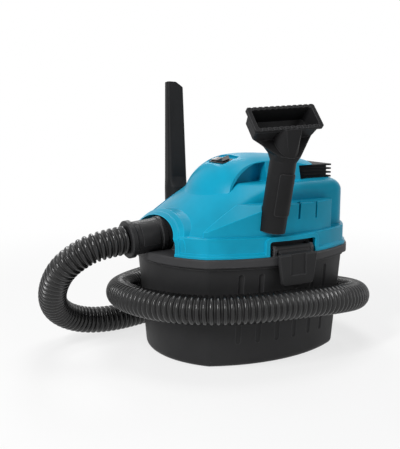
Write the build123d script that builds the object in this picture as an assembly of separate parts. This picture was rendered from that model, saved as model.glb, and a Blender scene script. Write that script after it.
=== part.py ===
from build123d import *
import os
from math import cos, radians, sin, sqrt, tan

# Compact wet and dry canister vacuum. Millimetres, +Z up, origin on the floor at the tank's centre.
# The hose inlet faces -Y, the latches and the stored tools are on the +X and -X sides.

# Plan outline of tank and head: four bowed sides that meet at soft corners
CORNER_X = 97.0
CORNER_Y = 111.5
HALF_WIDTH = 124.5
HALF_LENGTH = 151.6
CORNER_R = 14.0
CORNER_DX = 0.8155
CORNER_DY = 0.599
CHOP = 500.0

# Tank
TANK_TAPER = 11.6
TANK_WALL = 3.6
TANK_FLOOR = 4.0
LIP_TOP = 143.0
LIP_OUT = 1.5
LIP_HEIGHT = 6.0
FOOT_R = 9.0
FLUTE_Y = (-70.0, -42.0, -13.0, 16.0, 44.0, 70.0)
FLUTE_R = 5.0
FLUTE_DEPTH = 1.9
FLUTE_LOW = 36.0
FLUTE_HIGH = 126.0
FLUTE_UNDER_LATCH = 100.0

# Head base: black plate with the overhanging band and the inlet port
BAND_LOW = 140.4
BAND_TOP = 152.2
BAND_OUT = 6.8
BAND_IN = 2.8
PLATE_LOW = 146.6
PORT_HALF_WIDTH = 61.4
PORT_RISE = 32.2
PORT_FACE_Y = -121.0
PORT_BACK_Y = -98.0
ARCH_Z = 166.0
EYE_R = 27.0

# Inlet: its axis dips a little towards the hose
INLET_Z = 174.4
INLET_DIP = 5.0
ELBOW_R = 19.0
ELBOW_BORE_R = 16.5
ELBOW_Y = -82.0
ELBOW_BEND = 22.0
ELBOW_END_Z = 122.0
CLEAR = 0.3

# Motor cover
COVER_LOW = 152.5
COVER_WALL = 3.2
FLARE_OUT = 4.4
FLARE_TOP = 158.5
SKIRT_OUT = 1.4
LEDGE_Z = 179.5
UPPER_OUT = -4.0
FLANK_X = 92.0
END_BOW = HALF_LENGTH - CORNER_Y
TOP_Z = 243.0
FLANK_CORNER_R = 22.0
SHOULDER_R = 15.0
BROW_R = 16.0
BONNET_Y = 30.0
BONNET_ARC = ((200.0, 151.9), (137.6, 205.5), (60.0, 262.7))
COLLAR_Y = -14.2
COLLAR_ARC = ((141.0, 176.0), (131.0, 188.0), (106.0, 208.0))
COLLAR_STEPS = [(74.0, 40.5, 3.0, -1.8), (68.0, 37.0, 4.6, 0.0)]

# Tool pods with round seats on their tops
POD_OUT = -2.5
POD_SHELF_Z = 219.5
POD_REAR_Y = 84.0
NEAR_NOSE = 10.0
FAR_NOSE = 2.0
SEAT_LEAN_OUT = 8.5
SEAT_LEAN_BACK = 3.6
SEAT_Z = 208.0
SEAT_DEPTH = 23.0
SPARE_SEAT_DEPTH = 10.5
SEAT_PIN_R = 14.4
SEAT_GROOVE_R = 18.2
NOZZLE_SEAT_Y = -24.6
SPARE_SEAT_Y = 33.4
CREVICE_SEAT_Y = -43.0
FAR_SPARE_SEAT_Y = 16.4

# Hood: domed top with the carrying grip
HOOD_Y = 8.5
HOOD_FOOT_X = 66.0
HOOD_TOP_X = 46.0
HOOD_FOOT_Z = 205.0
HOOD_TOP_Z = 285.0
CREST_Z = 280.0
CREST_SWEEP_R = 390.0
CREST_SWEEP = 13.2
GRIP_DEPTH_X = 33.0
GRIP_REAR_Y = 9.0
RIDGE_REAR_Y = 99.0
ROOF_FRONT_Y = 67.0
ROOF_LOW_Z = 262.8

# Bush for the mains lead
GLAND_R = 7.0
GLAND_Z = 168.4

# Exhaust louvre
LOUVRE_HALF_WIDTH = 47.0
LOUVRE_REAR_Y = 121.0
LOUVRE_LOW_Z = 242.6
FIN_REACH = 10.0
FIN_COUNT = 4
FIN_THICK = 2.4

# Rocker switch in the hood's front
SWITCH_Y = -33.0
SWITCH_SLOPE = 15.5
SWITCH_FLOOR_Z = 269.5
SWITCH_RECESS = (50.0, 34.0)
ROCKER_LENGTH = 32.0
ROCKER_WIDTH = 12.4
ROCKER_TILT = 8.0
ROCKER_PIVOT = -1.6
ROCKER_PIN_R = 1.5

# Latches
LATCH_Y = 4.5
LATCH_HALF_WIDTH = 28.0
LATCH_PIN_X = 123.5
LATCH_PIN_Z = 161.0
LATCH_PIN_R = 2.0
LATCH_LOW_Z = 112.5
LATCH_TOP_Z = 155.5
LATCH_PLATE_X = (134.2, 138.6)
LATCH_PLATE_HALF = (25.5, 32.0)
LATCH_BARREL_R = 4.6
LUG_THICK = 4.0
WELL_X = 112.0
CUTOUT_HALF_WIDTH = 38.0
CUTOUT_TOP_Z = 172.5
CUTOUT_BORDER = 6.0
CATCH_X = 126.6

# Motor, fan and filter on the vertical motor axis
MOTOR_Y = 8.5
FAN_SHELL_R = 66.0
FAN_SHELL_LOW = 153.6
FAN_SHELL_TOP = 187.0
IMPELLER_R = 57.0
BLADE_COUNT = 8
MOTOR_R = 43.0
MOTOR_TOP = 236.0
SHAFT_R = 4.0
BEARING_R = 11.0
BEARING_HEIGHT = 7.0
CAGE_R = 42.0
CAGE_LOW = 70.0
SLEEVE_R = 50.0
FLOAT_R = 20.0

# Hose: outside and inside radius of the corrugated wall
HOSE_R = 20.2
HOSE_BORE_R = 16.0
CUFF_R = 23.0
CUFF_FLANGE_R = 24.2
CUFF_LENGTH = 63.0
END_CUFF_LENGTH = 62.0
HOSE_ROUTE = [
    (0, -183.8, 168.9), (0, -213.7, 166.3), (-10, -242, 156), (-33, -267, 129),
    (-71, -268, 87), (-107, -248, 51), (-124, -208, 27), (-124, -161, 20.8),
    (-136, -98, 21.2), (-150, -30, 27), (-151, 43, 33), (-130, 111, 40),
    (-80, 160, 47), (-10, 179, 55), (61, 166, 66), (118, 128.5, 77),
    (145, 69, 86), (150, 2, 91), (145, -66, 92), (121, -124.5, 91),
    (71, -163, 89), (8, -182, 87), (-58, -173, 82), (-113.5, -133.5, 75),
    (-145, -76, 75), (-155, -18, 77),
]

# Stored tools
TOOL_TUBE_R = 17.5
NOZZLE_TUBE = 94.0
NOZZLE_MOUTH = (99.0, 38.0)
NOZZLE_MOUTH_PLACE = (-5.3, 2.2, 150.0)
NOZZLE_MOUTH_TURN = (39.7, -8.7, 0.5)
CREVICE_LENGTH = 199.0
CREVICE_SOCKET = 34.0


def side_x(y, off=0.0):
    """Half width of the bowed plan outline at a place along the side."""
    rise = HALF_WIDTH - CORNER_X
    radius = (CORNER_Y ** 2 + rise ** 2) / (2 * rise)
    return HALF_WIDTH + off - radius + sqrt(radius ** 2 - y ** 2)


def plan(off=0.0, z=0.0):
    """Plan outline of the machine, grown by an offset, at a height."""
    x = CORNER_X + CORNER_DX * off
    y = CORNER_Y + CORNER_DY * off
    wide = HALF_WIDTH + off
    far = HALF_LENGTH + off
    arcs = [
        ThreePointArc((-x, -y), (0, -far), (x, -y)),
        ThreePointArc((x, -y), (wide, 0), (x, y)),
        ThreePointArc((x, y), (0, far), (-x, y)),
        ThreePointArc((-x, y), (-wide, 0), (-x, -y)),
    ]
    face = make_face(arcs)
    return Pos(0, 0, z) * fillet(face.vertices(), CORNER_R)


def slab(off, low, high):
    """Straight walled prism of the plan outline."""
    return extrude(plan(off, low), amount=high - low)


def block(x0, x1, y0, y1, z0, z1):
    """Box between two corners."""
    box = Box(x1 - x0, y1 - y0, z1 - z0)
    return Pos((x0 + x1) / 2, (y0 + y1) / 2, (z0 + z1) / 2) * box


def rod(start, end, radius):
    """Round bar between two points."""
    run = Vector(*end) - Vector(*start)
    bar = Cylinder(radius, run.length, align=(Align.CENTER, Align.CENTER, Align.MIN))
    return Plane(origin=start, z_dir=run) * bar


def ring(outer, inner, low, high):
    """Ring on the motor axis."""
    tube = extrude(Circle(outer) - Circle(inner), amount=high - low)
    return Pos(0, MOTOR_Y, low) * tube


def disc(radius, low, high):
    """Round plate on the motor axis."""
    return Pos(0, MOTOR_Y, low) * extrude(Circle(radius), amount=high - low)


def across(points, y, half):
    """Prism of an outline in X and Z, drawn out along Y on both sides of a place."""
    face = make_face(Polyline(*points, close=True))
    return Pos(0, y, 0) * extrude(Plane.XZ * face, amount=half, both=True)


def along_y(face, front, back):
    """Prism of a sketch in X and Z, from one place on Y to another."""
    return extrude(Plane.XZ.offset(-front) * face, amount=-(back - front))


def turned(points, y=MOTOR_Y):
    """Solid of revolution about the vertical axis at a place on Y, from radius and height pairs."""
    face = make_face(Polyline(*points, close=True))
    return Pos(0, y, 0) * revolve(Plane.XZ * face, axis=Axis.Z)


def near_and_far(solid):
    """A piece on the +X side and its mirror image on the -X side."""
    return solid + mirror(solid, about=Plane.YZ)


def arch(half_width, rise, low):
    """Round topped doorway outline round the inlet, in X and Z."""
    face = Pos(0, ARCH_Z) * Ellipse(half_width, rise)
    face += Pos(0, (low + ARCH_Z) / 2) * Rectangle(2 * half_width, ARCH_Z - low)
    return face & (Pos(0, low + CHOP / 2) * Rectangle(CHOP, CHOP))


def flute(y, high):
    """One round ended vertical groove cutter against the tank's leaning side."""
    stand = FLUTE_R - FLUTE_DEPTH
    lean = TANK_TAPER / LIP_TOP
    low_x = side_x(y) - TANK_TAPER + lean * FLUTE_LOW + stand
    high_x = side_x(y) - TANK_TAPER + lean * high + stand
    low_end = (low_x, y, FLUTE_LOW)
    high_end = (high_x, y, high)
    cutter = rod(low_end, high_end, FLUTE_R)
    return cutter + Pos(*low_end) * Sphere(FLUTE_R) + Pos(*high_end) * Sphere(FLUTE_R)


def tank():
    """Open tapered canister with a rim lip, fluted sides and two latch catches."""
    body = loft([plan(-TANK_TAPER, 0), plan(0, LIP_TOP)])
    body = fillet(body.faces().sort_by(Axis.Z)[0].edges(), FOOT_R)
    body += slab(LIP_OUT, LIP_TOP - LIP_HEIGHT, LIP_TOP)
    hollow = loft([plan(-TANK_TAPER - TANK_WALL, TANK_FLOOR), plan(-TANK_WALL, LIP_TOP)])
    hollow = fillet(hollow.faces().sort_by(Axis.Z)[0].edges(), FOOT_R - TANK_WALL)
    body -= hollow
    for y in FLUTE_Y:
        under = abs(y - LATCH_Y) < LATCH_HALF_WIDTH
        body -= near_and_far(flute(y, FLUTE_UNDER_LATCH if under else FLUTE_HIGH))
    root = side_x(LATCH_Y) - TANK_WALL
    catch = [(root, 119), (CATCH_X, 124), (CATCH_X, 130), (root, 133)]
    return body + near_and_far(across(catch, LATCH_Y, LATCH_HALF_WIDTH / 2))


DIP = radians(INLET_DIP)
INLET = Plane(origin=(0, PORT_FACE_Y, INLET_Z), x_dir=(1, 0, 0), z_dir=(0, -cos(DIP), -sin(DIP)))


def on_inlet(pairs):
    """Solid of revolution about the inlet's axis, from radius and outward distance pairs."""
    face = make_face(Polyline(*pairs, close=True))
    return INLET * revolve(Plane.XZ * face, axis=Axis.Z)


def elbow_solid(section, reach):
    """A section carried along the inlet passage: straight in, then down into the tank."""
    start = INLET.offset(reach)
    corner_z = INLET_Z + (ELBOW_Y - PORT_FACE_Y) * tan(DIP)
    path = FilletPolyline(start.origin, (0, ELBOW_Y, corner_z), (0, ELBOW_Y, ELBOW_END_Z), radius=ELBOW_BEND)
    return sweep(Plane(origin=start.origin, x_dir=(1, 0, 0), z_dir=-start.z_dir) * section, path=path)


def inlet_elbow():
    """Tube that turns the incoming air down, cut slanted at its lower end."""
    tube = elbow_solid(Circle(ELBOW_R) - Circle(ELBOW_BORE_R), -0.6)
    slant = Pos(0, ELBOW_Y, ELBOW_END_Z + 9) * Rot(25, 0, 0) * Pos(0, 0, -20) * Box(60, 48, 40)
    return tube - slant


def latch_lugs():
    """Ears that hold the latch pin, and the wall of the well behind them, on the +X side."""
    top = LATCH_PIN_Z + LATCH_BARREL_R
    ear = make_face(Polyline((WELL_X, BAND_TOP - 1), (127, BAND_TOP - 1), (128, LATCH_PIN_Z),
                             (LATCH_PIN_X + 1, top), (WELL_X, top), close=True))
    well = CUTOUT_HALF_WIDTH - 0.6
    ears = block(WELL_X - 3, WELL_X, LATCH_Y - well, LATCH_Y + well, BAND_TOP - 1, CUTOUT_TOP_Z - 0.6)
    for side in (-1, 1):
        inner = LATCH_Y + side * (LATCH_HALF_WIDTH + CLEAR + LUG_THICK / 2)
        ears += Pos(0, inner, 0) * extrude(Plane.XZ * ear, amount=LUG_THICK / 2, both=True)
    pin_end = LATCH_HALF_WIDTH + LUG_THICK + 2
    hole = rod((LATCH_PIN_X, LATCH_Y - pin_end, LATCH_PIN_Z),
               (LATCH_PIN_X, LATCH_Y + pin_end, LATCH_PIN_Z), LATCH_PIN_R)
    return ears - hole


def screw_places():
    """Places of the screws that hold the cover on the base."""
    return [(x, y) for x in (-99, 99) for y in (-80, 80)]


def head_base():
    """Black base plate with the band over the tank's rim, the inlet port and the latch ears."""
    body = slab(BAND_OUT, BAND_LOW, BAND_TOP)
    layers = body.edges().group_by(Axis.Z)
    body = fillet(layers[0] + layers[-1], 1.8)
    body -= slab(BAND_IN, BAND_LOW - 5, PLATE_LOW)
    port = along_y(arch(PORT_HALF_WIDTH, PORT_RISE, BAND_TOP - 1), PORT_FACE_Y, PORT_BACK_Y)
    body += port & bonnet(2)
    body -= on_inlet([(0, 0), (CUFF_FLANGE_R + 0.4, 0), (CUFF_FLANGE_R + 0.4, 17), (CUFF_R + 0.5, 17),
                      (CUFF_R + 0.5, 50), (0, 50)])
    body -= elbow_solid(Circle(ELBOW_R + CLEAR), 2)
    body -= disc(EYE_R, PLATE_LOW - 5, BAND_TOP + 5)
    for x, y in screw_places():
        body -= Pos(x, y, PLATE_LOW) * Cylinder(2.3, 40)
    return body + near_and_far(latch_lugs())


def tank_seal():
    """Soft ring between the base plate and the tank's rim."""
    outer = slab(LIP_OUT - 0.3, LIP_TOP + 0.2, PLATE_LOW)
    return outer - slab(-TANK_WALL - 3, LIP_TOP - 1, PLATE_LOW + 1)


def half_dome(arc, grow, inset=0.0):
    """Front half of a solid of revolution under an arc of radius and height pairs."""
    outer, mid, inner = [(radius + grow - inset, z - inset) for radius, z in arc]
    low = arc[0][1] - 50
    rest = Polyline(inner, (0, inner[1]), (0, low), (outer[0], low), outer)
    face = make_face(ThreePointArc(outer, mid, inner) + rest)
    return Rot(0, 0, 180) * revolve(Plane.XZ * face, axis=Axis.Z, revolution_arc=180)


def bonnet(grow, inset=0.0):
    """Large half dome that rounds the cover's front down to the ledge, open to the rear."""
    rear = block(-CHOP, CHOP, BONNET_Y, CHOP, 0, CHOP)
    return Pos(0, BONNET_Y, 0) * half_dome(BONNET_ARC, grow, inset) + rear


def upper_plan(inset, z):
    """Outline of the upper body: bowed ends between straight flanks."""
    far = HALF_LENGTH + UPPER_OUT - inset
    side = FLANK_X - inset
    bow = (CORNER_X ** 2 + END_BOW ** 2) / (2 * END_BOW)
    near = far - bow + sqrt(bow ** 2 - side ** 2)
    front = ThreePointArc((-side, -near), (0, -far), (side, -near))
    rear = ThreePointArc((side, near), (0, far), (-side, near))
    flanks = [Line((side, -near), (side, near)), Line((-side, near), (-side, -near))]
    face = make_face([front, rear] + flanks)
    return Pos(0, 0, z) * fillet(face.vertices(), FLANK_CORNER_R - inset)


def upper_body(inset):
    """Straight flanked upper body with rounded shoulders and the sloping, round edged front."""
    low = LEDGE_Z - 30
    body = extrude(upper_plan(inset, low), amount=TOP_Z - inset - low)
    body = fillet(body.edges().group_by(Axis.Z)[-1], SHOULDER_R - inset) & bonnet(0, inset)
    brow = body.faces().filter_by(GeomType.REVOLUTION).sort_by(SortBy.AREA)[-1]
    body = fillet(brow.edges(), BROW_R - inset)
    return body & block(-CHOP, CHOP, -CHOP, CHOP, LEDGE_Z - 8, CHOP)


def skirt(inset, low):
    """Lower wall of the cover, flared where it meets the band."""
    body = slab(SKIRT_OUT - inset, low, LEDGE_Z - inset)
    if inset == 0:
        body = fillet(body.edges().group_by(Axis.Z)[-1], 1.6)
        foot = slab(FLARE_OUT, low, FLARE_TOP)
        body += chamfer(foot.edges().group_by(Axis.Z)[-1], FLARE_OUT - SKIRT_OUT - 0.2)
    return body


def pods():
    """Shelves beside the upper body that carry the stored tools."""
    body = slab(POD_OUT, LEDGE_Z - 2, POD_SHELF_Z)
    body &= block(-CHOP, CHOP, -CHOP, POD_REAR_Y, 0, CHOP)
    near = body & bonnet(NEAR_NOSE) & block(FLANK_X - 2, CHOP, -CHOP, CHOP, 0, CHOP)
    far = body & bonnet(FAR_NOSE) & block(-CHOP, 2 - FLANK_X, -CHOP, CHOP, 0, CHOP)
    body = near + far
    return fillet(body.edges().filter_by(Axis.Z).group_by(Axis.Y)[-1], 3.0)


def hood_outline():
    """Half section of the domed hood as radius and height curves."""
    foot = (106, 214)
    waist = (88, 230)
    shoulder = (30, CREST_Z - 2.6)
    crest = (0, CREST_Z)
    flare = ThreePointArc(foot, (95, 220.5), waist)
    side = ThreePointArc(waist, (66, 261), shoulder)
    top = ThreePointArc(shoulder, (15, CREST_Z - 0.7), crest)
    return flare + side + top + Polyline(crest, (0, HOOD_FOOT_Z), (foot[0], HOOD_FOOT_Z), foot)


def hood():
    """Dome over the motor, drawn out to the rear as a ridge and cut to two leaning flanks."""
    half = make_face(hood_outline())
    dome = revolve(Plane.XZ * half, axis=Axis.Z)
    section = Plane.XZ * (half + mirror(half, about=Plane.YZ))
    sweep_axis = Axis((0, 0, CREST_Z - CREST_SWEEP_R), (-1, 0, 0))
    ridge = revolve(section, axis=sweep_axis, revolution_arc=CREST_SWEEP)
    flank = [(-HOOD_FOOT_X, HOOD_FOOT_Z), (HOOD_FOOT_X, HOOD_FOOT_Z),
             (HOOD_TOP_X, HOOD_TOP_Z), (-HOOD_TOP_X, HOOD_TOP_Z)]
    body = Pos(0, HOOD_Y, 0) * (dome + ridge) & across(flank, 0, CHOP)
    return body & block(-CHOP, CHOP, -CHOP, RIDGE_REAR_Y, 0, CHOP)


def grip_pocket():
    """Finger recess under the grip, on the +X side."""
    front = (-57, 222)
    top = (-9, 268.5)
    rear_top = (GRIP_REAR_Y, 270.5)
    rear_low = (GRIP_REAR_Y, 232)
    curve = ThreePointArc(front, (-38, 251), top)
    rest = Polyline(top, rear_top, rear_low, (-57, 215), front)
    face = make_face(curve + rest)
    return extrude(Plane.YZ.offset(GRIP_DEPTH_X) * face, amount=60)


def seat_plane(x_side, y):
    """Plane across a pod with its normal along the leaning tool seat."""
    out = x_side * tan(radians(SEAT_LEAN_OUT))
    back = tan(radians(SEAT_LEAN_BACK))
    x = x_side * side_x(y, POD_OUT + 1.5)
    return Plane(origin=(x, y, SEAT_Z), x_dir=(0, 1, 0), z_dir=(out, back, 1))


def seat_grooves():
    """Round grooves that the ends of the tools stand in."""
    places = [(1, NOZZLE_SEAT_Y, SEAT_DEPTH), (1, SPARE_SEAT_Y, SPARE_SEAT_DEPTH),
              (-1, CREVICE_SEAT_Y, SEAT_DEPTH), (-1, FAR_SPARE_SEAT_Y, SPARE_SEAT_DEPTH)]
    cutters = Part()
    for x_side, y, depth in places:
        groove = extrude(Circle(SEAT_GROOVE_R) - Circle(SEAT_PIN_R), amount=depth + 20)
        cutters += seat_plane(x_side, y) * Pos(0, 0, -depth) * groove
    return cutters


SWITCH = Plane(origin=(0, SWITCH_Y, SWITCH_FLOOR_Z), x_dir=(1, 0, 0),
               z_dir=(0, -sin(radians(SWITCH_SLOPE)), cos(radians(SWITCH_SLOPE))))


def on_switch(solid):
    """Put a piece drawn about the origin on the switch's sloping floor."""
    return SWITCH * solid


def latch_border():
    """Raised border round the latch cut-out, as proud as the flare, on the +X side."""
    half = CUTOUT_HALF_WIDTH + CUTOUT_BORDER
    top = CUTOUT_TOP_Z + CUTOUT_BORDER
    plate = block(110, 140, LATCH_Y - half, LATCH_Y + half, COVER_LOW, top)
    plate = fillet(plate.edges().filter_by(Axis.X).group_by(Axis.Z)[-1], 9)
    return plate & slab(FLARE_OUT, COVER_LOW, top)


def motor_cover():
    """Coloured cover: skirt, sloping front, shoulders, tool pods, hood with grip, inlet collar."""
    top = hood()
    top -= near_and_far(grip_pocket())
    top -= block(-90, 90, ROOF_FRONT_Y, 200, 0, ROOF_LOW_Z)
    low_top = block(-CHOP, CHOP, -CHOP, CHOP, 0, 215)
    body = upper_body(0) + skirt(0, COVER_LOW) + pods() + (top - low_top)
    for half_width, rise, out, swell in COLLAR_STEPS:
        collar = along_y(arch(half_width, rise, COVER_LOW), -CHOP / 2, -80)
        body += collar & slab(out, COVER_LOW, TOP_Z) & Pos(0, COLLAR_Y, 0) * half_dome(COLLAR_ARC, swell)
    body += near_and_far(latch_border())
    body -= upper_body(COVER_WALL) + skirt(COVER_WALL, COVER_LOW - 5)
    body -= fillet(block(-28, 28, -46, ROOF_FRONT_Y - 4, 200, 262).edges().filter_by(Axis.X), 12)
    body -= block(-40, 40, ROOF_FRONT_Y - 8, 100, 236, LOUVRE_LOW_Z)
    body -= along_y(arch(PORT_HALF_WIDTH + 0.6, PORT_RISE + 0.6, 100), -CHOP / 2, PORT_BACK_Y + 4)
    body -= seat_grooves()
    body -= rod((0, HALF_LENGTH - 20, GLAND_Z), (0, HALF_LENGTH + 20, GLAND_Z), GLAND_R + 0.02)
    cutout = block(108, 150, LATCH_Y - CUTOUT_HALF_WIDTH, LATCH_Y + CUTOUT_HALF_WIDTH, 100, CUTOUT_TOP_Z)
    body -= near_and_far(fillet(cutout.edges().filter_by(Axis.X).group_by(Axis.Z)[-1], 4))
    recess = extrude(RectangleRounded(*SWITCH_RECESS, 4), amount=30)
    body -= on_switch(recess)
    body -= on_switch(Pos(0, 0, -6) * Box(ROCKER_LENGTH + 4, ROCKER_WIDTH + 4, 30))
    bosses = Part()
    for x, y in screw_places():
        post = Pos(x, y, COVER_LOW) * extrude(Circle(5.5) - Circle(1.9), amount=26)
        bosses += post
    return body + bosses


def exhaust_louvre():
    """Rear vent: side cheeks, back wall and a stack of level fins under the roof."""
    low = LOUVRE_LOW_Z + 0.4
    high = ROOF_LOW_Z - 0.3
    body = block(-LOUVRE_HALF_WIDTH, LOUVRE_HALF_WIDTH, ROOF_FRONT_Y + 0.4, LOUVRE_REAR_Y, low, high)
    body -= block(-LOUVRE_HALF_WIDTH + 3, LOUVRE_HALF_WIDTH - 3, ROOF_FRONT_Y + 6, 300, low - 1, high + 1)
    for index in range(FIN_COUNT):
        z = high - FIN_THICK - index * (high - low - FIN_THICK) / (FIN_COUNT - 1)
        half = LOUVRE_HALF_WIDTH - 1
        front = ROOF_FRONT_Y + 5 if index == 0 else LOUVRE_REAR_Y - 34
        fin = block(-half, half, front, LOUVRE_REAR_Y + FIN_REACH, z, z + FIN_THICK)
        body += fin
    return body


def switch_housing():
    """Box under the switch floor with the opening that the rocker works in."""
    body = extrude(RectangleRounded(ROCKER_LENGTH + 7, ROCKER_WIDTH + 6, 2), amount=1.4)
    body += Pos(0, 0, -9) * Box(ROCKER_LENGTH + 3, ROCKER_WIDTH + 3, 18)
    body -= Pos(0, 0, -1) * Box(ROCKER_LENGTH + 1, ROCKER_WIDTH + 0.6, 12)
    body = Pos(0, 0, 0.2) * body
    reach = ROCKER_WIDTH / 2 + 1.4
    return on_switch(body - rod((0, -reach, ROCKER_PIVOT), (0, reach, ROCKER_PIVOT), ROCKER_PIN_R + 0.06))


def rocker():
    """Rocker key with a hollowed top, resting with its +X end up."""
    half = ROCKER_LENGTH / 2 - 0.6
    curve = ThreePointArc((half, 6.2), (0, 4.0), (-half, 6.2))
    rest = Polyline((-half, 6.2), (-half, 0.5), (0, -4.0), (half, 0.5), (half, 6.2))
    key = extrude(Plane.XZ * make_face(curve + rest), amount=ROCKER_WIDTH / 2, both=True)
    key = fillet(key.edges().filter_by(Axis.Y).group_by(Axis.Z)[-1], 0.8)
    reach = ROCKER_WIDTH / 2 + 1.2
    key += rod((0, -reach, ROCKER_PIVOT), (0, reach, ROCKER_PIVOT), ROCKER_PIN_R)
    pivot = Pos(0, 0, ROCKER_PIVOT)
    return on_switch(pivot * Rot(0, -ROCKER_TILT, 0) * pivot.inverse() * key)


def latch(side):
    """Draw latch: barrel in the well, arm over the band, tapered grip plate and inward hook."""
    back_x, front_x = LATCH_PLATE_X
    low_half, top_half = LATCH_PLATE_HALF
    face = make_face(Polyline((-low_half, LATCH_LOW_Z), (low_half, LATCH_LOW_Z), (top_half, LATCH_TOP_Z),
                              (-top_half, LATCH_TOP_Z), close=True))
    face = Pos(LATCH_Y, 0) * fillet(face.vertices().group_by(Axis.Y)[0], 7)
    plate = extrude(Plane.YZ.offset(back_x) * face, amount=front_x - back_x)
    plate = chamfer(plate.edges().group_by(Axis.X)[-1], 1.6)
    plate -= across([(136.6, 127), (136.6, 160), (150, 160), (150, 125)], LATCH_Y, 12.5)
    arm_low = BAND_TOP + 1.2
    arm = [(LATCH_PIN_X - 2, LATCH_PIN_Z - 3), (LATCH_PIN_X + 2.5, arm_low), (136, arm_low),
           (135, LATCH_TOP_Z), (129, LATCH_TOP_Z + 2), (LATCH_PIN_X + 2, LATCH_PIN_Z + 4)]
    hook = [(135, 121.5), (CATCH_X + 0.8, 120.5), (CATCH_X + 0.8, 117), (131, 114), (135, 114)]
    plate += across(arm, LATCH_Y, LATCH_HALF_WIDTH - 3) + across(hook, LATCH_Y, 12)
    barrel = rod((LATCH_PIN_X, LATCH_Y - LATCH_HALF_WIDTH, LATCH_PIN_Z),
                 (LATCH_PIN_X, LATCH_Y + LATCH_HALF_WIDTH, LATCH_PIN_Z), LATCH_BARREL_R)
    hole = rod((LATCH_PIN_X, LATCH_Y - 40, LATCH_PIN_Z), (LATCH_PIN_X, LATCH_Y + 40, LATCH_PIN_Z),
               LATCH_PIN_R + 0.06)
    body = plate + barrel - hole
    return body if side > 0 else mirror(body, about=Plane.YZ)


def latch_pin(side):
    """Hinge pin pressed into the two ears."""
    reach = LATCH_HALF_WIDTH + LUG_THICK + CLEAR
    x = side * LATCH_PIN_X
    return rod((x, LATCH_Y - reach, LATCH_PIN_Z), (x, LATCH_Y + reach, LATCH_PIN_Z), LATCH_PIN_R)


def fan_shell():
    """Pressed shell round the impeller with outlet windows in its rim."""
    low, high, out = FAN_SHELL_LOW, FAN_SHELL_TOP, FAN_SHELL_R
    body = turned([(24, low), (out - 4, low), (out, low + 4), (out, high), (BEARING_R + 1, high),
                   (BEARING_R + 1, high - 2), (out - 2, high - 2), (out - 2, low + 5),
                   (out - 5, low + 2), (24, low + 2)])
    window = Pos(out, 0, low + 20) * Box(14, 16, 9)
    for angle in range(15, 360, 30):
        body -= Pos(0, MOTOR_Y, 0) * Rot(0, 0, angle) * window
    return body


def fan_gasket():
    """Ring that seals the fan shell on the base plate."""
    return ring(FAN_SHELL_R - 10, EYE_R + 4, BAND_TOP, FAN_SHELL_LOW)


def impeller():
    """Closed centrifugal wheel with backward curved blades."""
    low = FAN_SHELL_LOW + 5
    wheel = ring(IMPELLER_R, 22, low, low + 1.5) + ring(IMPELLER_R, SHAFT_R + 0.03, low + 15, low + 16.5)
    wheel += ring(10, SHAFT_R + 0.03, low + 4, low + 15.5)
    arc = ThreePointArc((22, 0), (38, -9), (47, -29))
    blade = extrude(trace(arc, line_width=1.6), amount=14.4)
    for index in range(BLADE_COUNT):
        turn = Rot(0, 0, index * 360 / BLADE_COUNT)
        wheel += Pos(0, MOTOR_Y, low + 0.9) * turn * blade
    return wheel


def impeller_nut():
    """Hexagon nut under the impeller on the shaft's end."""
    nut = extrude(RegularPolygon(7, 6) - Circle(SHAFT_R + 0.03), amount=5)
    return Pos(0, MOTOR_Y, FAN_SHELL_LOW + 3.8) * nut


def rotor():
    """Shaft with the wound armature and the commutator."""
    base = FAN_SHELL_TOP
    body = disc(SHAFT_R, FAN_SHELL_LOW + 2, MOTOR_TOP - 3)
    body += disc(23, base + 12, base + 33)
    for index in range(12):
        slot = Pos(0, MOTOR_Y, base + 22) * Rot(0, 0, index * 30) * Pos(22, 0, 0) * Box(5, 2.4, 40)
        body -= slot
    return body + disc(18, base + 9, base + 36) + disc(11.5, base + 36, base + 41)


def stator():
    """Laminated field ring with two flats."""
    base = FAN_SHELL_TOP
    body = ring(MOTOR_R - 3.3, 24.2, base + 12, base + 33)
    return body & block(-36, 36, -60, 80, 0, CHOP)


def motor_frame():
    """Motor housing with bearing seats and cooling windows."""
    low, high, out = FAN_SHELL_TOP, MOTOR_TOP, MOTOR_R
    body = turned([(BEARING_R, low), (out + 8, low), (out + 8, low + 2.5), (out, low + 2.5), (out, high - 5),
                   (out - 5, high), (BEARING_R, high), (BEARING_R, high - BEARING_HEIGHT),
                   (BEARING_R + 3, high - BEARING_HEIGHT), (BEARING_R + 3, high - 3), (out - 6, high - 3),
                   (out - 3, high - 6), (out - 3, low + 3), (BEARING_R + 3, low + 3),
                   (BEARING_R + 3, low + BEARING_HEIGHT), (BEARING_R, low + BEARING_HEIGHT)])
    window = Pos(out, 0, (low + high) / 2 - 2) * Box(20, 13, 24)
    for angle in range(45, 360, 60):
        body -= Pos(0, MOTOR_Y, 0) * Rot(0, 0, angle) * window
    return body


def bearing(low):
    """Ball bearing shown as its closed ring."""
    return ring(BEARING_R, SHAFT_R + 0.05, low, low + BEARING_HEIGHT)


def brush_holders():
    """Two carbon brush holders against the commutator."""
    z = FAN_SHELL_TOP + 38.5
    holder = block(12, 34, MOTOR_Y - 4, MOTOR_Y + 4, z - 2.4, z + 2.4)
    return near_and_far(holder)


def filter_cage():
    """Cage under the base plate that holds the float and carries the filter."""
    low, top, out = CAGE_LOW, PLATE_LOW, CAGE_R
    body = turned([(0, low), (out, low), (out, top - 3), (out + 8, top - 3), (out + 8, top), (17, top),
                   (17, top - 6), (out - 2.5, top - 6), (out - 2.5, low + 3), (0, low + 3)])
    window = Pos(out, 0, (low + top) / 2 - 1) * Box(14, 17, 52)
    for angle in range(0, 360, 45):
        body -= Pos(0, MOTOR_Y, 0) * Rot(0, 0, angle) * window
    return body


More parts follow.
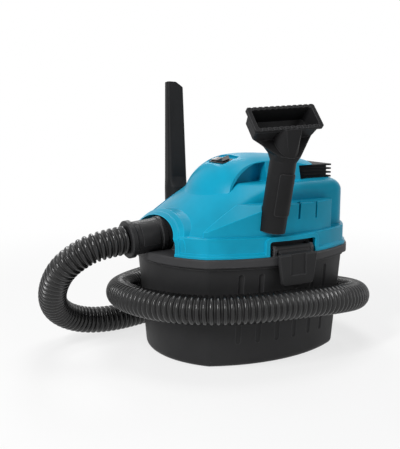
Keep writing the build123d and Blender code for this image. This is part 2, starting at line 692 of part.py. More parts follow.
def filter_sleeve():
    """Foam sleeve drawn over the cage."""
    return ring(SLEEVE_R, CAGE_R + 0.3, CAGE_LOW + 1, PLATE_LOW - 4)


def filter_band():
    """Elastic band that holds the sleeve on the cage."""
    return ring(SLEEVE_R + 2, SLEEVE_R + 0.1, PLATE_LOW - 12, PLATE_LOW - 7)


def float_ball():
    """Hollow float that shuts the air way when the tank is full."""
    centre = Pos(0, MOTOR_Y, CAGE_LOW + 3.3 + FLOAT_R)
    return centre * (Sphere(FLOAT_R) - Sphere(FLOAT_R - 1.5))


def cover_screws():
    """Screws driven up through the base plate into the cover's posts."""
    group = Part()
    for x, y in screw_places():
        head = Cylinder(4, 2.4, align=(Align.CENTER, Align.CENTER, Align.MAX))
        shank = Cylinder(1.9, 22, align=(Align.CENTER, Align.CENTER, Align.MIN))
        group += Pos(x, y, PLATE_LOW) * (head + shank)
    return group


def cord_gland():
    """Bush in the rear wall of the cover where the mains lead would come out."""
    y = HALF_LENGTH + SKIRT_OUT
    bush = Circle(GLAND_R) - Circle(3.6)
    flange = Circle(GLAND_R + 2.6) - Circle(3.6)
    place = Plane(origin=(0, y - 8, GLAND_Z), x_dir=(1, 0, 0), z_dir=(0, 1, 0))
    return place * (extrude(bush, amount=13) + Pos(0, 0, 8.3) * extrude(flange, amount=2.2))


def hose_cuff():
    """Machine end of the hose: spigot in the elbow, ringed grip and end ring."""
    end = CUFF_LENGTH
    return on_inlet([
        (HOSE_BORE_R, end), (24.6, end), (26, end - 1.4), (26, end - 7.5), (24.4, end - 9), (22.8, end - 10.5),
        (CUFF_R, end - 12), (CUFF_R, 16.6), (CUFF_FLANGE_R, 15.8), (CUFF_FLANGE_R, 10), (CUFF_R, 9.2),
        (CUFF_R, 0.5), (16.2, 0.5), (16.2, -11), (13.6, -12), (13.6, end - 12), (HOSE_BORE_R, end - 9),
    ])


def corner_radii(route):
    """Largest tangent arc that the two runs at each corner leave room for."""
    radii = []
    for before, here, after in zip(route, route[1:], route[2:]):
        first = Vector(*here) - Vector(*before)
        second = Vector(*after) - Vector(*here)
        turn = radians(first.get_angle(second))
        radii.append(0.45 * min(first.length, second.length) / tan(turn / 2))
    return radii


def hose():
    """Corrugated hose as a plain tube: down to the floor, round the tank and on above itself."""
    radii = corner_radii(HOSE_ROUTE)
    path = FilletPolyline(*HOSE_ROUTE, radius=radii)
    first = Vector(*HOSE_ROUTE[1]) - Vector(*HOSE_ROUTE[0])
    start = Plane(origin=HOSE_ROUTE[0], z_dir=first)
    section = Circle(HOSE_R) - Circle(HOSE_BORE_R)
    tube = sweep(start * section, path=path)
    print("hose radii", [round(r) for r in radii])
    print("hose length", round(path.length), "volume ratio", round(tube.volume / (section.area * path.length), 4))
    return tube


def hose_end_cuff():
    """Free end of the hose: stepped sleeve with a tapered bore for the tools."""
    length = END_CUFF_LENGTH
    pairs = [(HOSE_BORE_R, 0), (22, 0), (23, 2), (23, 16), (21.4, 18), (20.2, length),
             (TOOL_TUBE_R + 0.2, length), (TOOL_TUBE_R + 0.2, length - 30), (HOSE_BORE_R, length - 32)]
    face = make_face(Polyline(*pairs, close=True))
    spun = revolve(Plane.XZ * face, axis=Axis.Z)
    last = Vector(*HOSE_ROUTE[-1]) - Vector(*HOSE_ROUTE[-2])
    return Plane(origin=HOSE_ROUTE[-1], z_dir=last) * spun


def tool_plane(x_side, y):
    """Seat plane moved down to where the tool's end stands in its groove."""
    plane = seat_plane(x_side, y)
    return plane.offset(-SEAT_DEPTH + 1.0)


def utility_nozzle():
    """Wide suction nozzle: tube, flared throat, tilted box mouth with notched lips."""
    wide, deep = NOZZLE_MOUTH
    wall = 2.4
    mouth = Pos(*NOZZLE_MOUTH_PLACE) * Rot(*NOZZLE_MOUTH_TURN)

    def shape(cut):
        tube = Circle(TOOL_TUBE_R - cut)
        waist = Pos(0, 0, NOZZLE_TUBE + 8) * RectangleRounded(38 - 2 * cut, 33 - 2 * cut, 9)
        neck = mouth * Pos(0, 0, -24) * RectangleRounded(wide - 12 - 2 * cut, deep - 7 - 2 * cut, 4)
        lip = mouth * RectangleRounded(wide - 6 - 2 * cut, deep - 4 - 2 * cut, 3)
        body = extrude(tube, amount=NOZZLE_TUBE)
        body += loft([Pos(0, 0, NOZZLE_TUBE) * tube, waist])
        body += loft([waist, neck])
        return body + loft([neck, lip])

    body = shape(0) - shape(wall)
    rim = RectangleRounded(wide, deep, 3) - RectangleRounded(wide - 6 - 2 * wall, deep - 4 - 2 * wall, 2)
    body += mouth * Pos(0, 0, -5) * extrude(rim, amount=5)
    pitch = (wide - 16) / 10
    for index in range(11):
        notch = Pos(-5 * pitch + index * pitch, 0, 0.3) * Box(3.2, deep + 10, 2.6)
        body -= mouth * notch
    return body


def crevice_tool():
    """Slim flat nozzle with a round socket and a slanted open tip."""
    wall = 2.2

    def shape(cut):
        socket = Circle(TOOL_TUBE_R - cut)
        root = Pos(0, 0, CREVICE_SOCKET + 16) * RectangleRounded(32 - 2 * cut, 22 - 2 * cut, 7)
        tip = Pos(0, 0, CREVICE_LENGTH) * RectangleRounded(27 - 2 * cut, 14 - 2 * cut, 4)
        body = extrude(socket, amount=CREVICE_SOCKET)
        body += loft([Pos(0, 0, CREVICE_SOCKET) * socket, root])
        return body + loft([root, tip])

    body = shape(0) - shape(wall)
    slant = Pos(0, 0, CREVICE_LENGTH) * Rot(0, 32, 0) * Pos(0, 0, 15) * Box(90, 60, 30)
    return body - slant


NODES = {
    "tank": tank(),
    "head_base": head_base(),
    "tank_seal": tank_seal(),
    "motor_cover": motor_cover(),
    "inlet_elbow": inlet_elbow(),
    "exhaust_louvre": exhaust_louvre(),
    "switch_housing": switch_housing(),
    "rocker": rocker(),
    "latch_near": latch(1),
    "latch_far": latch(-1),
    "latch_pin_near": latch_pin(1),
    "latch_pin_far": latch_pin(-1),
    "fan_shell": fan_shell(),
    "fan_gasket": fan_gasket(),
    "impeller": impeller(),
    "impeller_nut": impeller_nut(),
    "rotor": rotor(),
    "stator": stator(),
    "motor_frame": motor_frame(),
    "bearing_lower": bearing(FAN_SHELL_TOP),
    "bearing_upper": bearing(MOTOR_TOP - BEARING_HEIGHT),
    "brush_holders": brush_holders(),
    "filter_cage": filter_cage(),
    "filter_sleeve": filter_sleeve(),
    "filter_band": filter_band(),
    "float_ball": float_ball(),
    "cover_screws": cover_screws(),
    "cord_gland": cord_gland(),
    "hose_cuff": hose_cuff(),
    "hose": hose(),
    "hose_end_cuff": hose_end_cuff(),
    "utility_nozzle": tool_plane(1, NOZZLE_SEAT_Y) * utility_nozzle(),
    "crevice_tool": tool_plane(-1, CREVICE_SEAT_Y) * crevice_tool(),
}

os.makedirs("parts", exist_ok=True)
for name, solid in NODES.items():
    export_step(solid, f"parts/{name}.step")
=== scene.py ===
import math

import bmesh
import bpy
from bpy.props import FloatProperty, FloatVectorProperty, IntProperty, PointerProperty
from mathutils import Matrix, Vector


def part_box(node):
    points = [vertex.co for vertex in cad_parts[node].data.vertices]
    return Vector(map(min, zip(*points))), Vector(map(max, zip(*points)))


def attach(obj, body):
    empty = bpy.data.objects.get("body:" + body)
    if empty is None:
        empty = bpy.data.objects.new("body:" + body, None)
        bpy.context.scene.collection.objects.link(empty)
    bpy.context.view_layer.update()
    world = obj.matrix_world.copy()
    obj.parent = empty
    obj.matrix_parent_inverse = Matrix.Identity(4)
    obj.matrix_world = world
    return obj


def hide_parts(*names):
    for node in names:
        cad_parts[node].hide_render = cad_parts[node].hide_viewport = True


bl_info = {
    "name": "Shop vacuum",
    "version": (1, 0, 0),
    "blender": (4, 5, 0),
    "location": "View3D > Sidebar > Vacuum",
    "description": "Dresses the packed model of a compact wet and dry vacuum",
    "category": "Object",
}

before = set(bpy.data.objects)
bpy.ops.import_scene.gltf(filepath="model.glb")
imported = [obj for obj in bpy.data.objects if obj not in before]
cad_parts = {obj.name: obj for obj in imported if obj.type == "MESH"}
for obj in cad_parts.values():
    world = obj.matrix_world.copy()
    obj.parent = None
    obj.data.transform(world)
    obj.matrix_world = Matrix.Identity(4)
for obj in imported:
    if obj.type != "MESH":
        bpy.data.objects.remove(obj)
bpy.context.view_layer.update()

# Middle line of the hose in metres, as in the part's source
HOSE_ROUTE = [
    (0.0, -0.1838, 0.1689), (0.0, -0.2137, 0.1663), (-0.01, -0.242, 0.156),
    (-0.033, -0.267, 0.129), (-0.071, -0.268, 0.087), (-0.107, -0.248, 0.051),
    (-0.124, -0.208, 0.027), (-0.124, -0.161, 0.0208), (-0.136, -0.098, 0.0212),
    (-0.15, -0.03, 0.027), (-0.151, 0.043, 0.033), (-0.13, 0.111, 0.04),
    (-0.08, 0.16, 0.047), (-0.01, 0.179, 0.055), (0.061, 0.166, 0.066),
    (0.118, 0.1285, 0.077), (0.145, 0.069, 0.086), (0.15, 0.002, 0.091),
    (0.145, -0.066, 0.092), (0.121, -0.1245, 0.091), (0.071, -0.163, 0.089),
    (0.008, -0.182, 0.087), (-0.058, -0.173, 0.082), (-0.1135, -0.1335, 0.075),
    (-0.145, -0.076, 0.075), (-0.155, -0.018, 0.077),
]
# Steps of the smooth line from point to point
HOSE_LINE_STEPS = 48
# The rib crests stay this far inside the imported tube
HOSE_SKIN = 0.0002
# Rib section: share of a pitch, and how deep the wall lies there
RIB_SECTION = [
    (0.0, 1.0), (0.09, 0.86), (0.19, 0.32), (0.31, 0.06),
    (0.47, 0.0), (0.63, 0.06), (0.75, 0.32), (0.85, 0.86),
]

# Tube of the stored wide nozzle: foot of its axis, direction and radius
NOZZLE_FOOT = (0.11899, -0.02597, 0.18628)
NOZZLE_AXIS = (0.147524, 0.062103, 0.987107)
TUBE_RADIUS = 0.0175
# Raised panel on the outer side of that tube
PANEL_SPAN = (0.024, 0.080)
PANEL_HALF_WIDTH = 0.0122
PANEL_CORNER = 0.003
# Front of the nozzle's throat: heights of its foot, deepest hollow and top, slope of the flat,
# greatest and least depth, how far the hollow runs on past the top, tilt with the mouth
THROAT_HEIGHTS = (0.1005, 0.1215, 0.1375)
THROAT_SLOPE = 0.12
THROAT_DEPTH = 0.0200
THROAT_LEAST_DEPTH = 0.0008
THROAT_TAIL = 1.12
THROAT_TILT = 0.122
THROAT_ROWS, THROAT_STEPS = 26, 8
THROAT_CREASE = 0.15

# Raised panel on the inlet cuff, measured along the cuff from the inlet's face
CUFF_FOOT = (0.0, -0.1210, 0.1744)
CUFF_AXIS = (0.0, -0.996195, -0.087156)
CUFF_RADIUS = 0.0230
CUFF_PANEL_SPAN = (0.0215, 0.0465)
CUFF_PANEL_LIFT = math.radians(19)
CUFF_PANEL_HALF_WIDTH = 0.0165
CUFF_PANEL_CORNER = 0.002
CUFF_PANEL_RISE = 0.0012

# Faces along and across a raised panel, and the angle in radians from which its edges stay sharp
PLATE_ROWS, PLATE_COLUMNS = 36, 20
PLATE_CREASE = 0.6

# Ribs along the louvre's cheeks: half height, share of it at the tips, how steeply the tips grow,
# distance from the cheek's ends, reach of the fins past the cheek, places up the cheek
LOUVRE_RIB = 0.0011
LOUVRE_RIB_TIP = 0.3
LOUVRE_RIB_TAPER = 6
LOUVRE_RIB_MARGIN = 0.003
LOUVRE_FIN_REACH = 0.010
LOUVRE_RIB_HEIGHTS = (0.24, 0.5, 0.76, 0.94)
LOUVRE_RIB_ROWS, LOUVRE_RIB_STEPS = 12, 6
LOUVRE_RIB_CREASE = 0.9

# Reflection of plain plastic, how much paler its edges are for wear and as a painted highlight, and the
# reflection of dull pieces
PLASTIC_SHINE = 0.13
PLASTIC_EDGE_WEAR_AND_SHEEN = 3.2
DULL_SHINE = 0.06
# Softness of edges on the plastic pieces of the motor, on metal and on rubber
WORKS_EDGE = 0.0006
METAL_EDGE = 0.0004
RUBBER_EDGE = 0.0005
EDGE_SAMPLES = 6
# Width of the paler edges (wear and painted highlight) against the soft edge, and how far the edge has
# turned where this paling starts and is full
EDGE_WEAR_AND_SHEEN_WIDTH = 1.8
EDGE_WEAR_AND_SHEEN_TURN = (0.004, 0.08)
# Share of the colour that the paler edges (wear and painted highlight), settled dust and the dust in the
# hose's grooves take
EDGE_WEAR_AND_SHEEN_SHARE = 0.75
DUST_SHARE = 0.12
GROOVE_DUST_SHARE = 0.10
# Scales of surface variation, per metre
FLOW_SCALE = 14.0
SMEAR_SCALE = 38.0
STAIN_SCALE = 45.0
STREAK_SCALE = 60.0
BLOOM_SCALE = 80.0
SPECK_SCALE = 420.0
PORE_SCALE = 620.0
LINE_SCALE = 700.0
HOSE_GRAIN = 900.0
RUBBER_GRAIN = 1500.0
# Depth of the fine relief on each kind of surface
PLASTIC_RELIEF = 0.00025
HOSE_RELIEF = 0.0002
METAL_RELIEF = 0.0001
FOAM_RELIEF = 0.0008
RUBBER_RELIEF = 0.0002
# Machining lines: even in all directions, or drawn out along the shaft
EVEN_LINES = (1, 1, 1)
SHAFT_LINES = (1, 1, 8)

# Half the floor's side, and its drop below the tank's foot
FLOOR_REACH = 6.0
FLOOR_DROP = 0.0004
# Lamps: name, place, width and height, share of the key lamp's power
LAMP_AIM = (0, 0, 0.15)
LAMPS = [
    ("key_lamp", (0.75, -1.6, 1.35), (0.22, 1.0), 1.0),
    ("top_lamp", (-0.1, 0.2, 1.9), (0.8, 0.8), 0.36),
    ("back_lamp", (-1.5, 0.57, 1.47), (0.5, 0.5), 0.3),
    ("side_lamp", (1.7, 0.9, 0.8), (0.4, 0.8), 0.12),
]
CAMERA_PLACE = (0.90963, -0.58596, 0.35933)
CAMERA_BACK = (0.8564, -0.4880, 0.1685)
CAMERA_RIGHT = (0.4952, 0.8688, 0.0)
CAMERA_SENSOR = 36.0
CAMERA_CLIP_END = 50.0


def colour_property(name, description, default):
    """A colour that the user may change."""
    return FloatVectorProperty(name=name, description=description, subtype="COLOR", size=3, min=0, max=1,
                               default=default)


def length_property(name, description, default, low, high):
    """A length in metres that the user may change."""
    return FloatProperty(name=name, description=description, unit="LENGTH", subtype="DISTANCE",
                         default=default, min=low, max=high)


class VacuumColours(bpy.types.PropertyGroup):
    """Colours of the moulded and metal pieces."""

    cover: colour_property("Cover", "Coloured motor cover", (0.004, 0.33, 0.51))
    tank: colour_property("Tank", "Black canister", (0.029, 0.029, 0.03))
    base: colour_property("Base", "Band under the cover", (0.048, 0.048, 0.05))
    fittings: colour_property("Fittings", "Latches, cuffs, louvre and tools", (0.022, 0.022, 0.023))
    hose: colour_property("Hose", "Ribbed hose", (0.007, 0.007, 0.0075))
    dust: colour_property("Dust", "Light dust on upper faces and in grooves", (0.16, 0.155, 0.145))
    steel: colour_property("Steel", "Shaft, pins, screws and bearings", (0.55, 0.55, 0.56))
    zinc: colour_property("Zinc", "Fan shell and field ring", (0.62, 0.63, 0.64))
    aluminium: colour_property("Aluminium", "Fan wheel", (0.78, 0.79, 0.8))
    brass: colour_property("Brass", "Brush holders", (0.75, 0.58, 0.3))
    motor: colour_property("Motor", "Plastic frame of the motor", (0.2, 0.2, 0.21))
    float_ball: colour_property("Float", "Float under the air way", (0.7, 0.7, 0.66))
    foam: colour_property("Foam", "Filter sleeve", (0.045, 0.045, 0.05))


class VacuumSizes(bpy.types.PropertyGroup):
    """Sizes of the hose wall and of surface detail."""

    hose_radius: length_property("Hose radius", "Outside radius over the ribs", 0.0202, 0.005, 0.05)
    rib_pitch: length_property("Rib pitch", "Distance from rib to rib", 0.0080, 0.002, 0.02)
    rib_depth: length_property("Rib depth", "Depth of the grooves between ribs", 0.0040, 0.0, 0.01)
    hose_wall: length_property("Hose wall", "Wall under the grooves", 0.0010, 0.0002, 0.005)
    hose_sides: IntProperty(name="Hose sides", description="Faces round the hose",
                            default=36, min=12, max=96)
    panel_rise: length_property("Panel rise", "Height of the panel on the wide nozzle's tube",
                                0.0016, 0.0002, 0.003)
    edge_radius: length_property("Edge radius", "Softness of moulded edges", 0.0009, 0.0, 0.005)


class VacuumStage(bpy.types.PropertyGroup):
    """Floor, lamps and camera."""

    floor: FloatProperty(name="Floor tone", description="Paleness of the floor", subtype="FACTOR",
                         default=0.9, min=0, max=1)
    ambient: FloatProperty(name="Ambient", description="Strength of the surrounding light",
                           default=0.20, min=0, max=4)
    fade: FloatVectorProperty(name="Floor fade", description="Where the floor starts and ends to go white",
                              unit="LENGTH", size=2, default=(0.45, 1.1), min=0.1, max=6)
    glow: FloatProperty(name="Floor glow", description="Share of white in the floor beside the object",
                        subtype="FACTOR", default=0.74, min=0, max=1)
    key: FloatProperty(name="Key lamp", description="Power of the tall lamp in front", unit="POWER",
                       default=27.0, min=0, max=500)
    lens: FloatProperty(name="Lens", description="Focal length in millimetres", unit="CAMERA",
                        default=66.82, min=10, max=300)


class Value:
    """A shader socket that arithmetic on it turns into Math nodes."""

    def __init__(self, paint, socket):
        self.paint = paint
        self.socket = socket

    def _math(self, operation, first, second):
        return self.paint.node("ShaderNodeMath", {"operation": operation}, {0: first, 1: second})

    def __add__(self, other):
        return self._math("ADD", self, other)

    def __radd__(self, other):
        return self._math("ADD", other, self)

    def __sub__(self, other):
        return self._math("SUBTRACT", self, other)

    def __rsub__(self, other):
        return self._math("SUBTRACT", other, self)

    def __mul__(self, other):
        return self._math("MULTIPLY", self, other)

    def __rmul__(self, other):
        return self._math("MULTIPLY", other, self)

    def clamped(self, low, high):
        """This value carried from a range to 0..1 with soft ends."""
        return self.paint.node("ShaderNodeMapRange", {"interpolation_type": "SMOOTHSTEP"},
                               {"Value": self, "From Min": low, "From Max": high})

    def swing(self, amount):
        """This noise as a swing of an amount to both sides of zero."""
        return (self - 0.5) * amount


class NodeSheet:
    """A node tree, with one way to add and fill its nodes."""

    def __init__(self, tree):
        self.tree = tree
        tree.nodes.clear()

    def node(self, kind, settings=None, inputs=None, output=0):
        """Add a node, set its settings, then fill or link its sockets.
        Gives back one output, or the node itself where it has none."""
        made = self.tree.nodes.new(kind)
        for key, value in (settings or {}).items():
            setattr(made, key, value)
        for key, value in (inputs or {}).items():
            self.put(made.inputs[key], value)
        return Value(self, made.outputs[output]) if made.outputs else made

    def put(self, socket, value):
        """Link a value to a socket, or set a constant on it."""
        if isinstance(value, Value):
            self.tree.links.new(value.socket, socket)
        elif hasattr(value, "__len__") and len(value) == 3 and socket.type == "RGBA":
            socket.default_value = (*value, 1)
        else:
            socket.default_value = value

    def seen_as_background(self):
        """1 for rays that come from the camera or from a mirror or glass, else 0."""
        kinds = ["Is Camera Ray", "Is Glossy Ray", "Is Transmission Ray"]
        camera, glossy, through = [self.node("ShaderNodeLightPath", output=kind) for kind in kinds]
        return (camera + glossy + through).clamped(0.0, 1.0)


class Paint(NodeSheet):
    """One procedural material and the nodes that it is made of."""

    # Places of a colour mix's factor, two colours and result among the Mix node's sockets
    MIX_FACTOR, MIX_FIRST, MIX_SECOND, MIX_RESULT = 0, 6, 7, 2

    def __init__(self, name):
        self.material = bpy.data.materials.new(name)
        self.material.use_nodes = True
        super().__init__(self.material.node_tree)
        self.surface = self.node("ShaderNodeBsdfPrincipled")
        self.output = self.node("ShaderNodeOutputMaterial", None, {"Surface": self.surface})

    def set(self, **sockets):
        """Fill the shader's own sockets, named with underscores."""
        for key, value in sockets.items():
            self.put(self.surface.socket.node.inputs[key.replace("_", " ")], value)

    def place(self):
        """Coordinates in metres on the piece itself."""
        return self.node("ShaderNodeTexCoord", output="Object")

    def facing(self):
        """Direction that the true face looks in."""
        return self.node("ShaderNodeNewGeometry", output="Normal")

    def noise(self, scale, detail=2.0, rough=0.5, where=None):
        """Cloudy variation at a scale per metre."""
        return self.node("ShaderNodeTexNoise", None, {"Vector": where or self.place(), "Scale": scale,
                                                      "Detail": detail, "Roughness": rough})

    def mix(self, amount, first, second):
        """Blend of two colours."""
        inputs = {self.MIX_FACTOR: amount, self.MIX_FIRST: first, self.MIX_SECOND: second}
        return self.node("ShaderNodeMix", {"data_type": "RGBA"}, inputs, output=self.MIX_RESULT)

    def soft_edges(self, radius):
        """Normal that rounds the sharp edges of moulded pieces."""
        return self.node("ShaderNodeBevel", {"samples": EDGE_SAMPLES}, {"Radius": radius})

    def worn_and_highlit_edges(self, radius):
        """Mask of the edges that hands and floors rub and that carry a painted highlight, where a soft edge
        turns away from the true face.
        """
        turned = self.node("ShaderNodeVectorMath", {"operation": "DOT_PRODUCT"},
                           {0: self.soft_edges(radius), 1: self.facing()}, output="Value")
        return (1 - turned).clamped(*EDGE_WEAR_AND_SHEEN_TURN)

    def bump(self, height, strength, depth, normal=None):
        """Normal with a fine relief added."""
        inputs = {"Height": height, "Strength": strength, "Distance": depth}
        if normal is not None:
            inputs["Normal"] = normal
        return self.node("ShaderNodeBump", None, inputs)


def lighter(colour, factor):
    """A colour scaled by a factor."""
    return tuple(min(1.0, channel * factor) for channel in colour)


def moulded_plastic(name, colour, edge, rough, grain, relief, dust=None, shine=PLASTIC_SHINE,
                    edge_wear_and_sheen=PLASTIC_EDGE_WEAR_AND_SHEEN):
    """Injection moulded plastic: spark grain, faint flow clouds, edges paled for wear and as a painted
    highlight, and settled dust.
    """
    paint = Paint(name)
    spark = paint.noise(grain, detail=3.0, rough=0.6)
    cloud = paint.noise(FLOW_SCALE, detail=3.0, rough=0.55)
    smear = paint.noise(SMEAR_SCALE, detail=4.0, rough=0.6)
    tone = paint.mix(cloud.clamped(0.32, 0.7), lighter(colour, 0.9), lighter(colour, 1.1))
    if dust is not None:
        up = paint.node("ShaderNodeSeparateXYZ", None, {0: paint.facing()}, output="Z")
        speck = paint.noise(SPECK_SCALE, detail=4.0, rough=0.7).clamped(0.55, 0.75)
        tone = paint.mix(up.clamped(0.2, 1.0) * speck * DUST_SHARE, tone, dust)
    # Paler edges: partly rubbed wear, partly a painted highlight along the edges.
    tone = paint.mix(paint.worn_and_highlit_edges(edge * EDGE_WEAR_AND_SHEEN_WIDTH) * EDGE_WEAR_AND_SHEEN_SHARE, tone, lighter(colour, edge_wear_and_sheen))
    paint.set(Base_Color=tone, Specular_IOR_Level=shine,
              Roughness=rough + smear.swing(0.16) + spark.swing(0.08),
              Normal=paint.bump(spark, relief, PLASTIC_RELIEF, paint.soft_edges(edge)))
    return paint.material


def ribbed_hose_plastic(name, colour, dust):
    """Glossy extruded hose wall with a trace of dust in the grooves."""
    paint = Paint(name)
    groove = paint.node("ShaderNodeAttribute", {"attribute_name": "groove"}, output="Fac")
    streak = paint.noise(STREAK_SCALE, detail=4.0, rough=0.6)
    tone = paint.mix(streak.clamped(0.3, 0.75), lighter(colour, 0.8), lighter(colour, 1.25))
    tone = paint.mix(groove * streak * GROOVE_DUST_SHARE, tone, dust)
    paint.set(Base_Color=tone, Specular_IOR_Level=0.42,
              Roughness=0.16 + streak.swing(0.1) + groove * 0.3,
              Normal=paint.bump(paint.noise(HOSE_GRAIN), 0.08, HOSE_RELIEF))
    return paint.material


def turned_metal(name, colour, rough, stretch):
    """Bare metal with fine machining lines."""
    paint = Paint(name)
    drawn = paint.node("ShaderNodeMapping", None, {"Vector": paint.place(), "Scale": stretch})
    lines = paint.noise(LINE_SCALE, detail=3.0, rough=0.6, where=drawn)
    stain = paint.noise(STAIN_SCALE, detail=3.0)
    tone = paint.mix(stain.clamped(0.3, 0.7), lighter(colour, 0.86), lighter(colour, 1.06))
    paint.set(Base_Color=tone, Metallic=1.0, Roughness=rough + lines.swing(0.22),
              Normal=paint.bump(lines, 0.12, METAL_RELIEF, paint.soft_edges(METAL_EDGE)))
    return paint.material


def open_foam(name, colour):
    """Open cell foam with dark pores."""
    paint = Paint(name)
    cells = paint.node("ShaderNodeTexVoronoi", None, {"Vector": paint.place(), "Scale": PORE_SCALE})
    pores = cells.clamped(0.1, 0.55)
    tone = paint.mix(pores, lighter(colour, 0.35), lighter(colour, 1.5))
    paint.set(Base_Color=tone, Roughness=0.95 - pores * 0.1, Normal=paint.bump(pores, 0.7, FOAM_RELIEF))
    return paint.material


def matt_rubber(name, colour):
    """Soft rubber with a dull bloom."""
    paint = Paint(name)
    bloom = paint.noise(BLOOM_SCALE, detail=4.0, rough=0.65)
    tone = paint.mix(bloom.clamped(0.35, 0.8), colour, lighter(colour, 1.9))
    paint.set(Base_Color=tone, Roughness=0.78 + bloom.swing(0.2),
              Normal=paint.bump(paint.noise(RUBBER_GRAIN), 0.15, RUBBER_RELIEF,
                                paint.soft_edges(RUBBER_EDGE)))
    return paint.material


def give(material, *nodes):
    """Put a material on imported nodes."""
    for name in nodes:
        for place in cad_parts[name].material_slots:
            place.material = material


def finish_of(node):
    """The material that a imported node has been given."""
    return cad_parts[node].material_slots[0].material


def mesh_piece(name, vertices, faces, body, material, crease=math.pi):
    """A clean smooth mesh that rides on a body, with edges sharper than the crease angle kept sharp."""
    mesh = bpy.data.meshes.new(name)
    mesh.from_pydata(vertices, [], faces)
    work = bmesh.new()
    work.from_mesh(mesh)
    bmesh.ops.recalc_face_normals(work, faces=work.faces)
    work.to_mesh(mesh)
    work.free()
    for face in mesh.polygons:
        face.use_smooth = True
    mesh.set_sharp_from_angle(angle=crease)
    mesh.materials.append(material)
    piece = bpy.data.objects.new(name, mesh)
    bpy.context.scene.collection.objects.link(piece)
    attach(piece, body)
    return piece


def loop_faces(rings, count, closed=False):
    """Quads between rings of points in order, and from the last to the first where they close."""
    faces = []
    for ring in range(rings if closed else rings - 1):
        here, there = ring * count, (ring + 1) % rings * count
        for place in range(count):
            after = (place + 1) % count
            faces.append((here + place, here + after, there + after, there + place))
    return faces


def capped_faces(rings, count):
    """Quads between rings of points in order, with one face over each end."""
    last = (rings - 1) * count
    return loop_faces(rings, count) + [tuple(range(count)), tuple(range(last, last + count))]


def curved_plate(foot, axes, radius, span, half_width, corner, rise):
    """Plate with round corners, bent round a tube: outer and inner sheet as one closed mesh."""
    axis, out, side = axes
    low, high = span
    rows, columns = PLATE_ROWS, PLATE_COLUMNS
    points = []
    for reach in (radius + rise, radius - rise):
        for row in range(rows + 1):
            height = low + (high - low) * row / rows
            inset = max(0.0, corner - min(height - low, high - height))
            half = half_width - corner + math.sqrt(corner ** 2 - inset ** 2)
            for column in range(columns + 1):
                angle = half * (2 * column / columns - 1) / radius
                around = out * math.cos(angle) + side * math.sin(angle)
                points.append(Vector(foot) + axis * height + around * reach)
    wide = columns + 1
    under = len(points) // 2
    faces = []
    for row in range(rows):
        for column in range(columns):
            here = row * wide + column
            quad = (here, here + 1, here + 1 + wide, here + wide)
            faces += [quad, tuple(under + place for place in reversed(quad))]
    rim = list(range(wide)) + [row * wide + columns for row in range(1, rows + 1)]
    rim += [rows * wide + column for column in range(columns - 1, -1, -1)]
    rim += [row * wide for row in range(rows - 1, 0, -1)]
    for first, second in zip(rim, rim[1:] + rim[:1]):
        faces.append((first, second, under + second, under + first))
    return points, faces


def hose_line():
    """Points along the smooth line that has the route as its control points."""
    curve = bpy.data.curves.new("hose_line", "CURVE")
    curve.dimensions = "3D"
    curve.resolution_u = HOSE_LINE_STEPS
    spline = curve.splines.new("NURBS")
    spline.points.add(len(HOSE_ROUTE) - 1)
    for point, place in zip(spline.points, HOSE_ROUTE):
        point.co = (*place, 1)
    spline.order_u = 3
    spline.use_endpoint_u = True
    holder = bpy.data.objects.new("hose_line", curve)
    bpy.context.scene.collection.objects.link(holder)
    bpy.context.view_layer.update()
    graph = bpy.context.evaluated_depsgraph_get()
    mesh = bpy.data.meshes.new_from_object(holder.evaluated_get(graph))
    points = [vertex.co.copy() for vertex in mesh.vertices]
    bpy.data.objects.remove(holder)
    bpy.data.curves.remove(curve)
    bpy.data.meshes.remove(mesh)
    return points


class PathReader:
    """Gives the place at a distance along a list of points, for distances that grow."""

    def __init__(self, points):
        self.points = points
        self.at = [0.0]
        for first, second in zip(points, points[1:]):
            self.at.append(self.at[-1] + (second - first).length)
        self.length = self.at[-1]
        self.index = 0

    def place(self, distance):
        """The point at a distance from the start."""
        while self.index < len(self.at) - 2 and self.at[self.index + 1] < distance:
            self.index += 1
        first, second = self.points[self.index], self.points[self.index + 1]
        span = self.at[self.index + 1] - self.at[self.index]
        share = (distance - self.at[self.index]) / span
        return first.lerp(second, min(1.0, max(0.0, share)))


